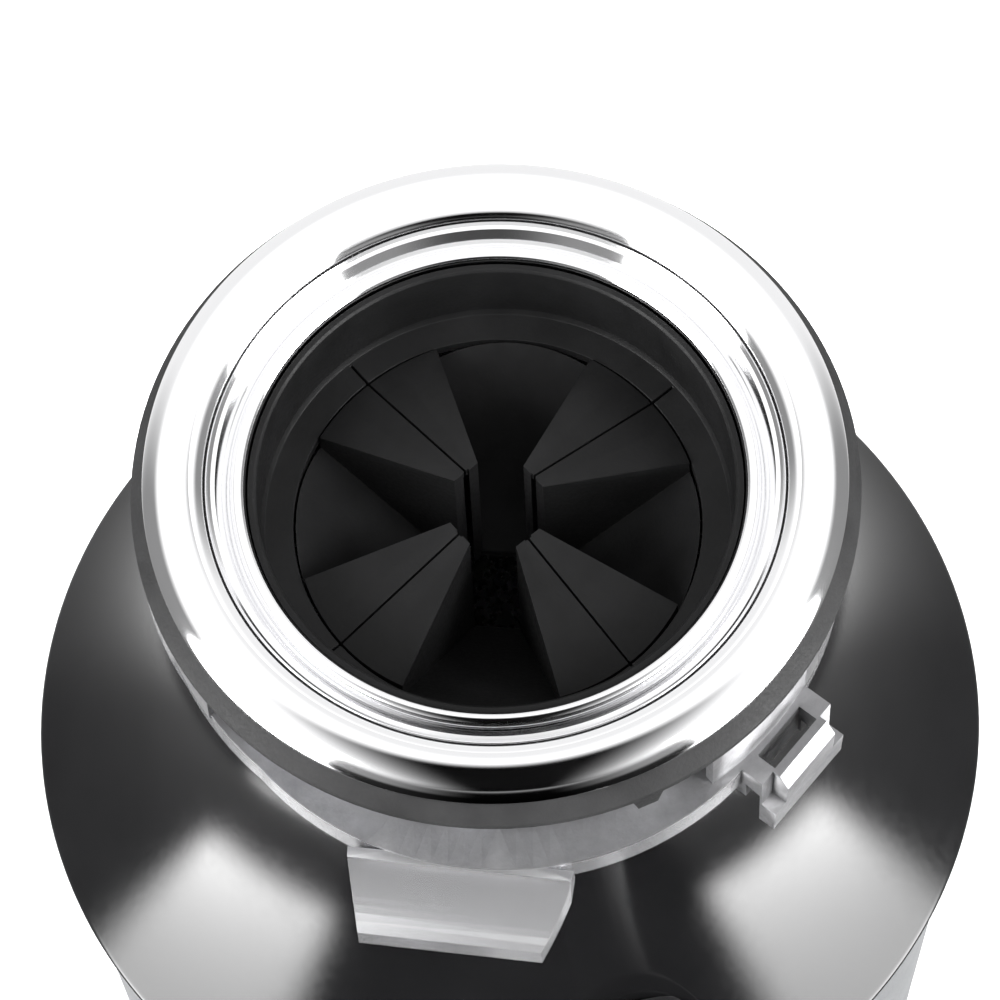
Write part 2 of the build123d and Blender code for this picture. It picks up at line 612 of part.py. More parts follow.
with BuildPart() as lower_bearing:
    tube(11.0, SHAFT_R + 0.04, -255.0, -267.0)
lower_bearing.part.label = "lower_bearing"
export_step(lower_bearing.part, "parts/lower_bearing.step")

# ---- motor: steel can, slotted stator with two windings, cage rotor ------------------------
STACK_TOP, STACK_END = -180.0, -236.0
with BuildPart() as motor_can:
    tube(CAN_R, CAN_R - 1.5, BELL_END, CAN_END)
motor_can.part.label = "motor_can"
export_step(motor_can.part, "parts/motor_can.step")

with BuildPart() as stator_core:
    with BuildSketch(Plane.XY.offset(STACK_TOP)):
        Circle(CAN_R - 1.55)
        Circle(34, mode=Mode.SUBTRACT)
        with PolarLocations(44, 18):
            SlotOverall(15, 5, mode=Mode.SUBTRACT)
        with PolarLocations(61.5, 4, start_angle=45):
            Circle(2.6, mode=Mode.SUBTRACT)
    extrude(amount=STACK_END - STACK_TOP)
stator_core.part.label = "stator_core"
export_step(stator_core.part, "parts/stator_core.step")

with BuildPart() as upper_winding:
    spin([(39, STACK_TOP + 0.2), (54, STACK_TOP + 0.2), (56, -177), (54, -172), (50, -169), (43, -169),
          (39, -172)])
upper_winding.part.label = "upper_winding"
export_step(upper_winding.part, "parts/upper_winding.step")

with BuildPart() as lower_winding:
    spin([(39, STACK_END - 0.2), (54, STACK_END - 0.2), (56, -241), (54, -247), (50, -250), (43, -250),
          (39, -246)])
lower_winding.part.label = "lower_winding"
export_step(lower_winding.part, "parts/lower_winding.step")

with BuildPart() as rotor_core:
    tube(33.4, SHAFT_R, STACK_TOP, STACK_END)
rotor_core.part.label = "rotor_core"
export_step(rotor_core.part, "parts/rotor_core.step")

with BuildPart() as rotor_end_rings:
    for top, direction in ((STACK_TOP, 1), (STACK_END, -1)):
        with BuildSketch(Plane.XY.offset(top)):
            Circle(32)
            Circle(22, mode=Mode.SUBTRACT)
        extrude(amount=5 * direction)
        with BuildSketch(Plane.XY.offset(top + 5 * direction)):
            with PolarLocations(27, 10):
                Rectangle(8, 2)
        extrude(amount=4 * direction)
rotor_end_rings.part.label = "rotor_end_rings"
export_step(rotor_end_rings.part, "parts/rotor_end_rings.step")

# ---- starting gear: centrifugal governor on the shaft, switch and capacitor ----------------
with BuildPart() as governor:
    spin([(SHAFT_R, -241), (12, -241), (12, -247), (18, -248), (18, -251), (SHAFT_R, -251)])
    with BuildSketch(Plane.XY.offset(-248.5)):
        with Locations((15.5, 0), (-15.5, 0)):
            Rectangle(4, 13)
    extrude(amount=6.5)
governor.part.label = "governor"
export_step(governor.part, "parts/governor.step")

with BuildPart() as start_switch:
    with Locations((27, 0, -254.2)):
        Box(16, 13, 5.2)
    with Locations((21.5, 0, -252.6)):
        Box(9, 5, 1.4)
start_switch.part.label = "start_switch"
export_step(start_switch.part, "parts/start_switch.step")

with BuildPart() as start_capacitor:
    with BuildSketch(Plane.YZ.offset(-22)):
        with Locations((40, -275.4)):
            Circle(9)
    extrude(amount=44)
    fillet(start_capacitor.edges().filter_by(GeomType.CIRCLE), 1)
start_capacitor.part.label = "start_capacitor"
export_step(start_capacitor.part, "parts/start_capacitor.step")

# ---- lower end frame and its four through bolts --------------------------------------------
FRAME_END = CAN_END - 5
with BuildPart() as lower_end_frame:
    spin([(11, -253), (13.5, -253), (15, CAN_END), (68.2, CAN_END), (68.2, FRAME_END), (15, FRAME_END),
          (14, -267.4), (11, -267.4)])
    with PolarLocations(61.5, 4, start_angle=45):
        Cylinder(2.6, 600, mode=Mode.SUBTRACT)
    with PolarLocations(44, 8):
        Cylinder(5, 600, mode=Mode.SUBTRACT)
lower_end_frame.part.label = "lower_end_frame"
export_step(lower_end_frame.part, "parts/lower_end_frame.step")

with BuildPart() as through_bolts:
    for azimuth in BOLT_AZ:
        with BuildSketch(Plane.XY.offset(FRAME_END)):
            with Locations(polar(61.5, azimuth)):
                RegularPolygon(4.4, 6, major_radius=True)
        extrude(amount=-3)
        with BuildSketch(Plane.XY.offset(FRAME_END)):
            with Locations(polar(61.5, azimuth)):
                Circle(2.2)
        extrude(amount=BELL_END + 2.8 - FRAME_END)
through_bolts.part.label = "through_bolts"
export_step(through_bolts.part, "parts/through_bolts.step")

# ---- wrench hub: hexagon socket on the shaft's lower end -----------------------------------
with BuildPart() as wrench_hub:
    with BuildSketch(Plane.XY.offset(SHAFT_END)):
        Circle(8)
    extrude(amount=-15)
    chamfer(wrench_hub.edges().sort_by(Axis.Z)[0], 1)
    with BuildSketch(Plane.XY.offset(SHAFT_END - 15)):
        RegularPolygon(3.2, 6, major_radius=False)
    extrude(amount=9, mode=Mode.SUBTRACT)
wrench_hub.part.label = "wrench_hub"
export_step(wrench_hub.part, "parts/wrench_hub.step")

# ---- base cover: black cup under the motor with the reset button and cord knock-out --------
BUTTON_X, BUTTON_Y = 26.0, -30.0
BUSH_X, BUSH_Y = -36.0, -8.0
with BuildPart() as base_cover:
    spin([(0, BASE_Z), (62, BASE_Z), (67, BASE_Z + 2), (69.4, BASE_Z + 7), (70.4, SHELL_END - 0.1),
          (68.4, SHELL_END - 0.1), (67.4, BASE_Z + 7.4), (65.8, BASE_Z + 3.8), (61.8, BASE_Z + 2.2),
          (0, BASE_Z + 2.2)])
    with Locations((0, 0, BASE_Z)):
        Cylinder(10, 20, mode=Mode.SUBTRACT)
    with Locations((BUTTON_X, BUTTON_Y, BASE_Z)):
        Cylinder(4.4, 20, mode=Mode.SUBTRACT)
    with Locations((BUSH_X, BUSH_Y, BASE_Z)):
        Cylinder(11.1, 20, mode=Mode.SUBTRACT)
    for azimuth in (90, 210, 330):
        with BuildSketch(Plane.XY.offset(BASE_Z + 2)):
            with Locations(polar(56, azimuth)):
                Circle(5)
        extrude(amount=FRAME_END - 0.1 - BASE_Z - 2)
        with Locations(polar(56, azimuth, BASE_Z)):
            Cylinder(2.1, 90, mode=Mode.SUBTRACT)
base_cover.part.label = "base_cover"
export_step(base_cover.part, "parts/base_cover.step")

with BuildPart() as base_screws:
    for azimuth in (90, 210, 330):
        with BuildSketch(Plane.XY.offset(BASE_Z)):
            with Locations(polar(56, azimuth)):
                Circle(4)
        extrude(amount=-2.2)
        with BuildSketch(Plane.XY.offset(BASE_Z)):
            with Locations(polar(56, azimuth)):
                Circle(2.05)
        extrude(amount=20)
        for turn in (0, 90):
            with BuildSketch(Plane.XY.offset(BASE_Z - 1)):
                with Locations(Location(polar(56, azimuth), turn)):
                    Rectangle(4.6, 0.9)
            extrude(amount=-3, mode=Mode.SUBTRACT)
base_screws.part.label = "base_screws"
export_step(base_screws.part, "parts/base_screws.step")

with BuildPart() as cord_bushing:
    with BuildSketch(Plane.XY.offset(BASE_Z + 4.5)):
        with Locations((BUSH_X, BUSH_Y)):
            Circle(11.0)
            Circle(8.5, mode=Mode.SUBTRACT)
    extrude(amount=-4.5)
    with BuildSketch(Plane.XY.offset(BASE_Z)):
        with Locations((BUSH_X, BUSH_Y)):
            Circle(13.5)
            Circle(8.5, mode=Mode.SUBTRACT)
    extrude(amount=-3)
cord_bushing.part.label = "cord_bushing"
export_step(cord_bushing.part, "parts/cord_bushing.step")

with BuildPart() as overload_protector:
    with Locations((BUTTON_X, BUTTON_Y, -272.5)):
        Box(22, 18, 15)
    with Locations((BUTTON_X, BUTTON_Y, -282)):
        Cylinder(3.4, 24, mode=Mode.SUBTRACT)
overload_protector.part.label = "overload_protector"
export_step(overload_protector.part, "parts/overload_protector.step")

with BuildPart() as reset_button:
    with BuildSketch(Plane.XY.offset(BASE_Z - 2.4)):
        with Locations((BUTTON_X, BUTTON_Y)):
            Circle(4.0)
    extrude(amount=5.4)
    with BuildSketch(Plane.XY.offset(BASE_Z + 3)):
        with Locations((BUTTON_X, BUTTON_Y)):
            Circle(3.1)
    extrude(amount=9)
    fillet(reset_button.edges().sort_by(Axis.Z)[0], 1)
reset_button.part.label = "reset_button"
export_step(reset_button.part, "parts/reset_button.step")

with BuildPart() as ground_screw:
    with BuildSketch(Plane.XY.offset(FRAME_END)):
        with Locations((-46, 12)):
            RegularPolygon(4.4, 6, major_radius=True)
    extrude(amount=-3)
ground_screw.part.label = "ground_screw"
export_step(ground_screw.part, "parts/ground_screw.step")

# ---- lead wires: two insulated leads from the winding down to the capacitor ----------------
with BuildPart() as lead_wires:
    with BuildSketch(Plane.XY.offset(-250.1)):
        with Locations((2.4, 43), (-2.4, 43)):
            Circle(1.3)
    extrude(amount=-16.1)
lead_wires.part.label = "lead_wires"
export_step(lead_wires.part, "parts/lead_wires.step")
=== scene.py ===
"""Kitchen garbage disposal: polished sink flange, swivel ring and glossy black bell, dressed in Blender."""

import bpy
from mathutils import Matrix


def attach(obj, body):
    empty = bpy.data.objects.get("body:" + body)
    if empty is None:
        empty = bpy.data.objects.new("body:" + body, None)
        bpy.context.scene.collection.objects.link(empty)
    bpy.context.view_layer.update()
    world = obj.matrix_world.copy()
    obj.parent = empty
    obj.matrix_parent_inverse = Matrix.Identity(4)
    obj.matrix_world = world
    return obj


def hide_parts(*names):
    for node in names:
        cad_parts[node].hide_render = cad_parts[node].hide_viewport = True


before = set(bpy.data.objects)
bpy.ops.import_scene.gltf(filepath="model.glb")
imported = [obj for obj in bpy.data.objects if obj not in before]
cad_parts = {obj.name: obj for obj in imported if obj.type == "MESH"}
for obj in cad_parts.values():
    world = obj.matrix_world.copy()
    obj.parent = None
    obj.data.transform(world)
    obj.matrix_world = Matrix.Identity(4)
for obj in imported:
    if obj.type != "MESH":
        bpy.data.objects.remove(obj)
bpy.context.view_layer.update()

from math import atan2, cos, hypot, pi, radians, sin

import bmesh
import bpy
from mathutils import Matrix, Vector
from mathutils.geometry import interpolate_bezier

# ---- camera: a long lens high in front of the sink flange ----------------------------------
# The disposal hangs below its flange, and is looked down on from in front and above.
CAMERA_DISTANCE = 1.0
CAMERA_ELEVATION = radians(64.5)
CAMERA_ROLL = radians(-3.4)
CAMERA_LENS = 222.7
AIM_RIGHT, AIM_UP = 0.00058, -0.003628

line_of_sight = Vector((0, -cos(CAMERA_ELEVATION), sin(CAMERA_ELEVATION)))
level_up = Vector((0, sin(CAMERA_ELEVATION), cos(CAMERA_ELEVATION)))
camera_place = line_of_sight * CAMERA_DISTANCE
backward = (camera_place - level_up * AIM_UP - Vector((AIM_RIGHT, 0, 0))).normalized()
level_right = level_up.cross(backward).normalized()
true_up = backward.cross(level_right)
rolled_right = level_right * cos(CAMERA_ROLL) + true_up * sin(CAMERA_ROLL)
rolled_up = true_up * cos(CAMERA_ROLL) - level_right * sin(CAMERA_ROLL)
turn_to_view = Matrix((rolled_right, rolled_up, backward)).transposed().to_4x4()
camera_data = bpy.data.cameras.new("bench_camera")
camera_data.lens = CAMERA_LENS
camera_data.clip_start = 0.05
camera_data.clip_end = 20
camera = bpy.data.objects.new("bench_camera", camera_data)
camera.matrix_world = Matrix.Translation(camera_place) @ turn_to_view
bpy.context.scene.collection.objects.link(camera)
bpy.context.scene.camera = camera

# ---- studio: pale floor and a tent of soft light -------------------------------------------
# The polished metal shows the tent itself: bright overhead, softer at both sides and behind,
# dark low down in front, with one tall strip of light on each front quarter for the bell's two
# highlights. Two black cards stand close in front, and a key lamp lights what doesn't shine.
FLOOR_Z = -0.2925
FLOOR_SIZE = 4.0
TENT_BASE = 0.02
SIDE_LIGHT = 0.36
BACK_LIGHT = 0.9
DOME_LIGHT = 1.7
STRIP_LIGHT = 26.0
FRONT_CARD = ((0, -0.14, -0.034), 90, (0.17, 0.190))    # middle, tilt, and width and height
CREST_CARD = ((0, -0.078, 0.045), 0, (0.13, 0.115))
KEY_POWER, KEY_SIZE, KEY_DISTANCE = 4.0, 0.45, 0.9
KEY_AZIMUTH, KEY_ELEVATION = -70, 62
bpy.context.scene.view_settings.view_transform = "Standard"


def node(tree, kind, **settings):
    """A new node in a tree; settings name its properties, or its inputs by their labels."""
    made = tree.nodes.new(kind)
    for name, value in settings.items():
        if hasattr(made, name):
            setattr(made, name, value)
        else:
            made.inputs[name.replace("_", " ")].default_value = value
    return made


def chain(tree, value, operation, other=0.0, clamp=False):
    """One Math node on a value; the other operand is a number or a socket."""
    step = node(tree, "ShaderNodeMath", operation=operation, use_clamp=clamp)
    tree.links.new(value, step.inputs[0])
    if isinstance(other, (int, float)):
        step.inputs[1].default_value = other
    else:
        tree.links.new(other, step.inputs[1])
    return step.outputs[0]


def remap(tree, value, low, high, to_low=0.0, to_high=1.0, curve="LINEAR"):
    """A clamped Map Range on a value."""
    step = node(tree, "ShaderNodeMapRange", interpolation_type=curve, From_Min=low, From_Max=high,
                To_Min=to_low, To_Max=to_high)
    tree.links.new(value, step.inputs["Value"])
    return step.outputs["Result"]


world = bpy.data.worlds.new("studio_tent")
world.use_nodes = True
tent = world.node_tree
tent.nodes.clear()
looking = node(tent, "ShaderNodeTexCoord").outputs["Generated"]
looking_parts = node(tent, "ShaderNodeSeparateXYZ")
tent.links.new(looking, looking_parts.inputs[0])
elevation = chain(tent, chain(tent, looking_parts.outputs["Z"], "ARCSINE"), "MULTIPLY", 180 / pi)


def sector(azimuth, half, soft):
    """1 within half degrees of an azimuth, falling softly to 0."""
    turned_round = node(tent, "ShaderNodeVectorRotate", rotation_type="Z_AXIS", Angle=radians(-azimuth))
    tent.links.new(looking, turned_round.inputs["Vector"])
    parts = node(tent, "ShaderNodeSeparateXYZ")
    tent.links.new(turned_round.outputs[0], parts.inputs[0])
    angle = chain(tent, chain(tent, parts.outputs["Y"], "ARCTAN2", parts.outputs["X"]), "ABSOLUTE")
    return remap(tent, angle, radians(half + soft), radians(half), curve="SMOOTHSTEP")


def above(low, high):
    """0 below the low elevation, rising softly to 1 at the high one; the other way round falls."""
    if low < high:
        return remap(tent, elevation, low, high, curve="SMOOTHSTEP")
    return remap(tent, elevation, high, low, 1.0, 0.0, curve="SMOOTHSTEP")


dark_front = chain(tent, sector(-90, 42, 12), "MULTIPLY", above(12, 2))
open_tent = remap(tent, dark_front, 0.0, 1.0, 1.0, 0.0)
dome = chain(tent, chain(tent, above(24, 44), "MULTIPLY", DOME_LIGHT - SIDE_LIGHT), "ADD", SIDE_LIGHT)
behind = chain(tent, chain(tent, sector(90, 40, 25), "MULTIPLY", above(44, 24)), "MULTIPLY", BACK_LIGHT)
lit = chain(tent, chain(tent, dome, "ADD", behind), "MULTIPLY", open_tent)
tent_light = chain(tent, lit, "ADD", TENT_BASE)
for azimuth in (-155, -25):
    strip = chain(tent, chain(tent, sector(azimuth, 13, 9), "MULTIPLY", above(-42, -30)), "MULTIPLY", above(54, 42))
    tent_light = chain(tent, chain(tent, strip, "MULTIPLY", STRIP_LIGHT), "ADD", tent_light)
tent_glow = node(tent, "ShaderNodeBackground")
tent.links.new(tent_light, tent_glow.inputs["Strength"])
backdrop_glow = node(tent, "ShaderNodeBackground", Color=(0.94, 0.94, 0.95, 1), Strength=1.0)
seen_directly = node(tent, "ShaderNodeLightPath").outputs["Is Camera Ray"]
either = node(tent, "ShaderNodeMixShader")
tent.links.new(seen_directly, either.inputs[0])
tent.links.new(tent_glow.outputs[0], either.inputs[1])
tent.links.new(backdrop_glow.outputs[0], either.inputs[2])
tent.links.new(either.outputs[0], node(tent, "ShaderNodeOutputWorld").inputs["Surface"])
bpy.context.scene.world = world


def new_material(name, **surface):
    """A material with one Principled BSDF, whose uniform values are set on its own sockets."""
    material = bpy.data.materials.new(name)
    material.use_nodes = True
    shader = material.node_tree.nodes["Principled BSDF"]
    for socket, value in surface.items():
        shader.inputs[socket.replace("_", " ")].default_value = value
    return material, material.node_tree, shader


def studio_sheet(name, size, matrix, material):
    """A flat square sheet of the studio, which isn't part of the object."""
    bm = bmesh.new()
    bmesh.ops.create_grid(bm, x_segments=1, y_segments=1, size=0.5)
    bmesh.ops.transform(bm, verts=bm.verts, matrix=matrix @ Matrix.Diagonal((*size, 1, 1)))
    data = bpy.data.meshes.new(name)
    bm.to_mesh(data)
    bm.free()
    data.materials.append(material)
    sheet = bpy.data.objects.new(name, data)
    bpy.context.scene.collection.objects.link(sheet)
    return sheet


bench_white, tree, shader = new_material("bench_white", Base_Color=(0.90, 0.90, 0.91, 1), Roughness=0.8)
in_a_reflection = node(tree, "ShaderNodeLightPath").outputs["Is Glossy Ray"]
unseen = node(tree, "ShaderNodeMixShader")
tree.links.new(in_a_reflection, unseen.inputs[0])
tree.links.new(shader.outputs[0], unseen.inputs[1])
tree.links.new(node(tree, "ShaderNodeBsdfTransparent").outputs[0], unseen.inputs[2])
tree.links.new(unseen.outputs[0], tree.nodes["Material Output"].inputs["Surface"])
studio_sheet("bench_top", (FLOOR_SIZE, FLOOR_SIZE), Matrix.Translation((0, 0, FLOOR_Z)), bench_white)

for name, (middle, tilt, size) in (("front_card", FRONT_CARD), ("crest_card", CREST_CARD)):
    black_card, tree, shader = new_material(name, Base_Color=(0, 0, 0, 1), Roughness=1.0, Specular_IOR_Level=0.0)
    card_place = Matrix.Translation(middle) @ Matrix.Rotation(radians(tilt), 4, "X")
    offset = node(tree, "ShaderNodeVectorMath", operation="SUBTRACT")
    tree.links.new(node(tree, "ShaderNodeTexCoord").outputs["Object"], offset.inputs[0])
    offset.inputs[1].default_value = middle
    offset_parts = node(tree, "ShaderNodeSeparateXYZ")
    tree.links.new(offset.outputs[0], offset_parts.inputs[0])
    across = chain(tree, offset_parts.outputs["X"], "ABSOLUTE")
    along = chain(tree, offset_parts.outputs["Z" if tilt else "Y"], "ABSOLUTE")
    narrow = remap(tree, across, size[0] * 0.10, size[0] * 0.5, 1.0, 0.0, "SMOOTHSTEP")
    short = remap(tree, along, size[1] * 0.36, size[1] * 0.5, 1.0, 0.0, "SMOOTHSTEP")
    tree.links.new(chain(tree, narrow, "MULTIPLY", short), shader.inputs["Alpha"])
    card = studio_sheet(name, size, card_place, black_card)
    card.visible_camera = card.visible_diffuse = card.visible_shadow = card.visible_transmission = False

key_data = bpy.data.lights.new("key_lamp", "AREA")
key_data.energy = KEY_POWER
key_data.size = KEY_SIZE
key_lamp = bpy.data.objects.new("key_lamp", key_data)
key_way = Vector((cos(radians(KEY_ELEVATION)) * cos(radians(KEY_AZIMUTH)),
                  cos(radians(KEY_ELEVATION)) * sin(radians(KEY_AZIMUTH)), sin(radians(KEY_ELEVATION))))
key_lamp.matrix_world = Matrix.Translation(key_way * KEY_DISTANCE) @ key_way.to_track_quat("Z", "Y").to_matrix().to_4x4()
key_lamp.visible_glossy = False
bpy.context.scene.collection.objects.link(key_lamp)

# ---- sink flange ----------------------------------------------------------------------------
# A stainless ring spun and mirror polished, with a rolled bead round its throat. Its sleeve
# drops through the sink, and everything below hangs from the snap ring's groove in it.
MM = 0.001


def arc(start, through, end, steps=10):
    """Points of the circular arc from start through a point to end, in millimetres."""
    (ax, ay), (bx, by), (cx, cy) = start, through, end
    double = 2 * (ax * (by - cy) + bx * (cy - ay) + cx * (ay - by))
    ux = ((ax**2 + ay**2) * (by - cy) + (bx**2 + by**2) * (cy - ay) + (cx**2 + cy**2) * (ay - by)) / double
    uy = ((ax**2 + ay**2) * (cx - bx) + (bx**2 + by**2) * (ax - cx) + (cx**2 + cy**2) * (bx - ax)) / double
    first = atan2(ay - uy, ax - ux)
    middle = (atan2(by - uy, bx - ux) - first) % (2 * pi)
    last = (atan2(cy - uy, cx - ux) - first) % (2 * pi)
    sweep = last if middle < last else last - 2 * pi
    radius = hypot(ax - ux, ay - uy)
    turns = [first + sweep * step / steps for step in range(steps + 1)]
    return [(ux + radius * cos(turn), uy + radius * sin(turn)) for turn in turns]


def finished(name, bm, smooth=35):
    """Turns a bmesh into a piece with merged points, outward faces and smooth shading."""
    bmesh.ops.remove_doubles(bm, verts=bm.verts, dist=2e-6)
    bmesh.ops.recalc_face_normals(bm, faces=bm.faces)
    data = bpy.data.meshes.new(name)
    bm.to_mesh(data)
    bm.free()
    piece = bpy.data.objects.new(name, data)
    bpy.context.scene.collection.objects.link(piece)
    data.shade_smooth()
    data.set_sharp_from_angle(angle=radians(smooth))
    return piece


def turned(name, outline, steps=160, smooth=35):
    """A ring spun about Z from a closed outline of (radius, height) points in millimetres."""
    bm = bmesh.new()
    ring = [bm.verts.new((radius * MM, 0, height * MM)) for radius, height in outline]
    for first, second in zip(ring, ring[1:] + ring[:1]):
        bm.edges.new((first, second))
    bmesh.ops.spin(bm, geom=bm.verts[:] + bm.edges[:], cent=(0, 0, 0), axis=(0, 0, 1), angle=2 * pi, steps=steps,
                   use_merge=True)
    return finished(name, bm, smooth)


def dress(piece, material, body, slot, *nodes):
    """Gives a piece its material and body, and hides the CAD nodes that it stands for; its slot is not used."""
    piece.data.materials.clear()
    piece.data.materials.append(material)
    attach(piece, body)
    if nodes:
        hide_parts(*nodes)


def effect_group(name, inputs, outputs):
    """An empty node group with named sockets; inputs are (name, kind, default)."""
    group = bpy.data.node_groups.new(name, "ShaderNodeTree")
    for label, kind, value in inputs:
        socket = group.interface.new_socket(label, in_out="INPUT", socket_type="NodeSocket" + kind)
        socket.default_value = value
    for label, kind in outputs:
        group.interface.new_socket(label, in_out="OUTPUT", socket_type="NodeSocket" + kind)
    return group, group.nodes.new("NodeGroupInput").outputs, group.nodes.new("NodeGroupOutput").inputs


def noise(tree, place, scale, detail=3.0, roughness=0.5):
    """A Noise Texture's value at a place; scale is a number or a socket."""
    texture = node(tree, "ShaderNodeTexNoise", Detail=detail, Roughness=roughness)
    tree.links.new(place, texture.inputs["Vector"])
    if isinstance(scale, (int, float)):
        texture.inputs["Scale"].default_value = scale
    else:
        tree.links.new(scale, texture.inputs["Scale"])
    return texture.outputs["Fac"]


def placed(tree, group, **inputs):
    """A shader node group placed in a material, fed with numbers, colours or sockets."""
    made = tree.nodes.new("ShaderNodeGroup")
    made.node_tree = group
    for name, value in inputs.items():
        socket = made.inputs[name.replace("_", " ")]
        if isinstance(value, bpy.types.NodeSocket):
            tree.links.new(value, socket)
        else:
            socket.default_value = value
    return made.outputs


def bump(tree, shader, height, depth, strength=1.0):
    """Feeds a height to a shader's normal, depth metres deep."""
    step = node(tree, "ShaderNodeBump", Strength=strength, Distance=depth)
    tree.links.new(height, step.inputs["Height"])
    tree.links.new(step.outputs["Normal"], shader.inputs["Normal"])


def object_place(tree):
    """Where the shaded point is on the piece: its place, and its distance from the Z axis."""
    place = node(tree, "ShaderNodeTexCoord").outputs["Object"]
    parts = node(tree, "ShaderNodeSeparateXYZ")
    tree.links.new(place, parts.inputs[0])
    squares = chain(tree, chain(tree, parts.outputs["X"], "POWER", 2.0), "ADD",
                    chain(tree, parts.outputs["Y"], "POWER", 2.0))
    return place, parts.outputs, chain(tree, squares, "SQRT")


# Turning marks: fine rings about the vertical axis, left by spinning or lathe work.
turning_group, turning_in, turning_out = effect_group(
    "turning_marks", (("Rings", "Float", 2500.0),), (("Height", "Float"),))
_, turned_parts, turned_radius = object_place(turning_group)
ring_place = node(turning_group, "ShaderNodeCombineXYZ")
turning_group.links.new(turned_radius, ring_place.inputs["X"])
turning_group.links.new(turned_parts["Z"], ring_place.inputs["Y"])
turning_group.links.new(noise(turning_group, ring_place.outputs[0], turning_in["Rings"], 2.0), turning_out["Height"])

# Handling marks: faint smears and finger grease that dull a gloss.
smear_group, smear_in, smear_out = effect_group(
    "handling_marks", (("Roughness", "Float", 0.1), ("Amount", "Float", 0.1)), (("Roughness", "Float"),))
smears = remap(smear_group, noise(smear_group, object_place(smear_group)[0], 22.0, 6.0, 0.7), 0.46, 0.72)
smear_group.links.new(
    chain(smear_group, chain(smear_group, smears, "MULTIPLY", smear_in["Amount"]), "ADD", smear_in["Roughness"], True),
    smear_out["Roughness"])

flange = turned("polished_sink_flange", (
    arc((57.15, 0.9), (55.3, 2.9), (52.2, 3.7), 14)
    + arc((52.2, 3.7), (50.5, 3.4), (49.0, 2.6), 8)[1:]
    + arc((49.0, 2.6), (46.0, -0.1), (43.6, -2.2), 6)[1:]
    + [(43.6, -2.4)]
    + arc((43.6, -2.4), (43.35, -2.65), (43.1, -2.4), 4)[1:]
    + arc((43.1, -2.4), (41.9, -0.9), (40.6, -2.5), 14)[1:]
    + [(40.6, -4.8), (41.0, -5.3), (41.0, -24.0), (42.2, -24.0), (42.2, -18.1), (41.6, -18.1), (41.6, -16.4),
       (42.2, -16.4), (42.2, -3.3), (44.3, -3.3), (44.3, -1.4), (45.4, 0.0), (46.4, 0.0)]
    + arc((46.4, 0.0), (51.0, 3.1), (55.0, 0.0), 16)[1:]
    + [(57.0, 0.0), (57.15, 0.2)]), steps=256)
polished_steel, tree, shader = new_material("mirror_stainless", Base_Color=(0.86, 0.86, 0.87, 1), Metallic=1.0)
steel_smears = placed(tree, smear_group, Roughness=0.085, Amount=0.05)
tree.links.new(steel_smears["Roughness"], shader.inputs["Roughness"])
bump(tree, shader, placed(tree, turning_group, Rings=2200.0)["Height"], 0.0000015, 0.6)
dress(flange, polished_steel, "housing", "polished_stainless", "sink_flange")

# ---- rim gasket -----------------------------------------------------------------------------
# A moulded black rubber ring that seals the flange to the sink, with one locating tooth. It
# is nipped between the flange's lip and the steel backup flange.


def mix_colour(tree, share, first, second):
    """Mixes two colours, each a socket or four numbers."""
    mix = tree.nodes.new("ShaderNodeMix")
    mix.data_type = "RGBA"
    for socket, value in ((mix.inputs[0], share), (mix.inputs[6], first), (mix.inputs[7], second)):
        if isinstance(value, bpy.types.NodeSocket):
            tree.links.new(value, socket)
        else:
            socket.default_value = value
    return mix.outputs[2]


# Grain: cloudy tone, fine pits and uneven gloss, as any moulded, cast or rolled face has.
grain_group, grain_in, grain_out = effect_group(
    "surface_grain",
    (("Colour", "Color", (0.5, 0.5, 0.5, 1)), ("Tone", "Color", (0.4, 0.4, 0.4, 1)), ("Cloud Scale", "Float", 30.0),
     ("Grain Scale", "Float", 1500.0), ("Roughness", "Float", 0.5), ("Spread", "Float", 0.1)),
    (("Colour", "Color"), ("Roughness", "Float"), ("Height", "Float")))
grain_place = object_place(grain_group)[0]
cloud = noise(grain_group, grain_place, grain_in["Cloud Scale"], 5.0, 0.6)
pits = noise(grain_group, grain_place, grain_in["Grain Scale"], 2.0)
cloud_share = remap(grain_group, cloud, 0.35, 0.68)
grain_group.links.new(mix_colour(grain_group, cloud_share, grain_in["Colour"], grain_in["Tone"]), grain_out["Colour"])
uneven = chain(grain_group, remap(grain_group, pits, 0.3, 0.7, -0.5, 0.5), "ADD",
               remap(grain_group, cloud, 0.35, 0.65, -0.5, 0.5))
grain_group.links.new(
    chain(grain_group, chain(grain_group, uneven, "MULTIPLY", grain_in["Spread"]), "ADD", grain_in["Roughness"], True),
    grain_out["Roughness"])
grain_group.links.new(pits, grain_out["Height"])

# Worn edges: the corners of a piece, broken up, where handling rubs the finish.
wear_group, wear_in, wear_out = effect_group(
    "worn_edges", (("Radius", "Float", 0.0006), ("Amount", "Float", 0.5)), (("Mask", "Float"),))
rounded = node(wear_group, "ShaderNodeBevel", samples=4)
wear_group.links.new(wear_in["Radius"], rounded.inputs["Radius"])
agreement = node(wear_group, "ShaderNodeVectorMath", operation="DOT_PRODUCT")
wear_group.links.new(rounded.outputs["Normal"], agreement.inputs[0])
wear_group.links.new(node(wear_group, "ShaderNodeNewGeometry").outputs["Normal"], agreement.inputs[1])
patchy = remap(wear_group, noise(wear_group, object_place(wear_group)[0], 260.0, 4.0, 0.65), 0.38, 0.62)
corner = remap(wear_group, agreement.outputs["Value"], 0.90, 0.995, 1.0, 0.0)
rubbed = chain(wear_group, corner, "MULTIPLY", patchy)
wear_group.links.new(chain(wear_group, rubbed, "MULTIPLY", wear_in["Amount"], True), wear_out["Mask"])


